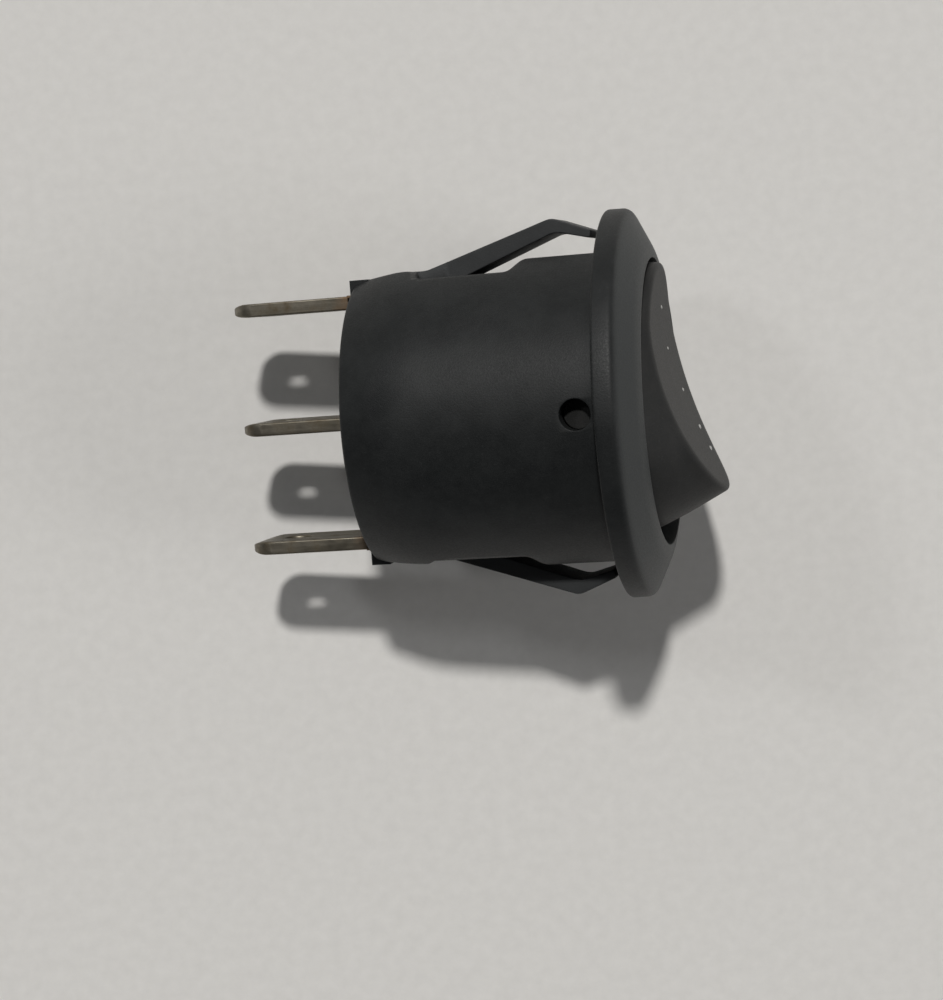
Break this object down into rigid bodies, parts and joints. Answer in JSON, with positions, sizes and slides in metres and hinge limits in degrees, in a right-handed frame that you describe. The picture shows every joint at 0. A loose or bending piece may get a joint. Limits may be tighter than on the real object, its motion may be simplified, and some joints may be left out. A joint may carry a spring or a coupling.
{
  "type": "round snap-in rocker switch",
  "caption": "Round black snap-in rocker switch with a barrel body, springy side arms and flat rear tabs; the rocker tips and moves a see-saw contact.",
  "frame": {"origin": "centre of the bounding box, which lies on the axis of the barrel, 8.53 mm behind the bezel's rear seating face", "axes": "+X out of the panel towards the rocker, +Y along the row of terminals and the way the rocker tips, +Z along the rocker's pivot axis"},
  "size_m": [0.0292, 0.023, 0.023],
  "materials": {
    "black_nylon": "fine-grained matte moulding",
    "rocker_nylon": "fine satin moulding",
    "plunger_acetal": "natural white",
    "spring_steel": "drawn wire",
    "contact_copper": "stamped copper strip",
    "contact_silver": "silver alloy rivet",
    "tinned_brass": "dull tinned, bare copper tone at the root"
  },
  "bodies": {
    "housing": {"housing": "black_nylon", "rear_cover": "black_nylon", "terminal_common": "tinned_brass", "terminal_upper": "tinned_brass", "terminal_lower": "tinned_brass", "fixed_rivet_upper": "contact_silver", "fixed_rivet_lower": "contact_silver"},
    "rocker": {"rocker": "rocker_nylon", "plunger_spring": "spring_steel"},
    "plunger": {"plunger": "plunger_acetal"},
    "moving_contact": {"moving_contact": "contact_copper", "moving_rivet_upper": "contact_silver", "moving_rivet_lower": "contact_silver"},
    "snap_arm_upper": {"snap_arm_upper": "black_nylon"},
    "snap_arm_lower": {"snap_arm_lower": "black_nylon"}
  },
  "joints": [
    {"name": "rocker_tilt", "type": "hinge", "parent": "housing", "child": "rocker", "pos_m": [0.00723, 0, 0], "axis": [0, 0, 1], "range_deg": [-28, 0]},
    {"name": "contact_tilt", "type": "hinge", "parent": "housing", "child": "moving_contact", "pos_m": [-0.00247, 0, 0], "axis": [0, 0, 1], "range_deg": [0, 16]},
    {"name": "plunger_slide", "type": "slide", "parent": "rocker", "child": "plunger", "axis": [0.9703, 0.2419, 0], "range_m": [0, 0.0006], "deforming": ["plunger_spring"]},
    {"name": "arm_flex_upper", "type": "hinge", "parent": "housing", "child": "snap_arm_upper", "pos_m": [-0.00247, 0.00795, 0], "axis": [0, 0, 1], "range_deg": [-9.6, 0]},
    {"name": "arm_flex_lower", "type": "hinge", "parent": "housing", "child": "snap_arm_lower", "pos_m": [-0.00247, -0.00795, 0], "axis": [0, 0, 1], "range_deg": [0, 8.3]}
  ],
  "couplings": [
    {"joint": "contact_tilt", "follows": "rocker_tilt", "ratio": -0.5714}
  ]
}
